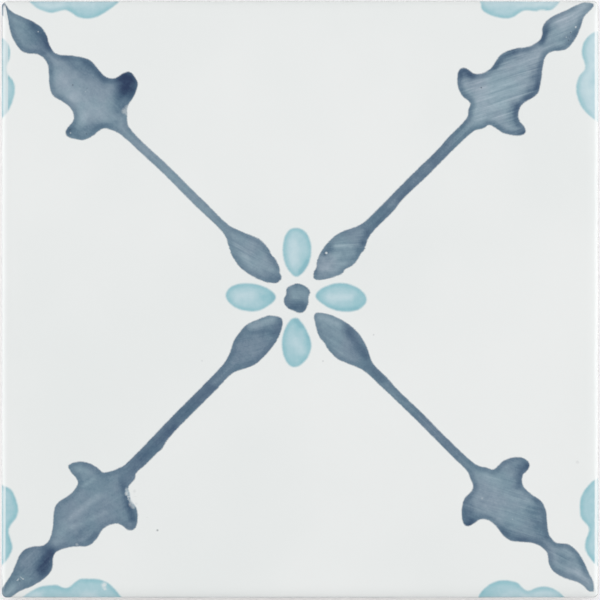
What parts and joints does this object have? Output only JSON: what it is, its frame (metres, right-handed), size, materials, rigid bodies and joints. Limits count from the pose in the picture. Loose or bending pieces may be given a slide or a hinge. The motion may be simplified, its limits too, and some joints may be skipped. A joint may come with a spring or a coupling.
{
  "type": "hand-painted wall tile",
  "caption": "Square glazed earthenware wall tile with a cushioned edge, a hand-painted diagonal trellis ornament in slate blue and pale aqua, and a keyed back for adhesive.",
  "frame": {"origin": "the middle of the keyed back, on the plane that the tile lies on", "axes": "+Z points out of the glazed face, +X to the right and +Y to the top of the painted ornament as the picture shows it"},
  "size_m": [0.13, 0.13, 0.01],
  "materials": {
    "painted_glaze": "gloss"
  },
  "bodies": {
    "root": {"tile": "painted_glaze"}
  },
  "joints": []
}
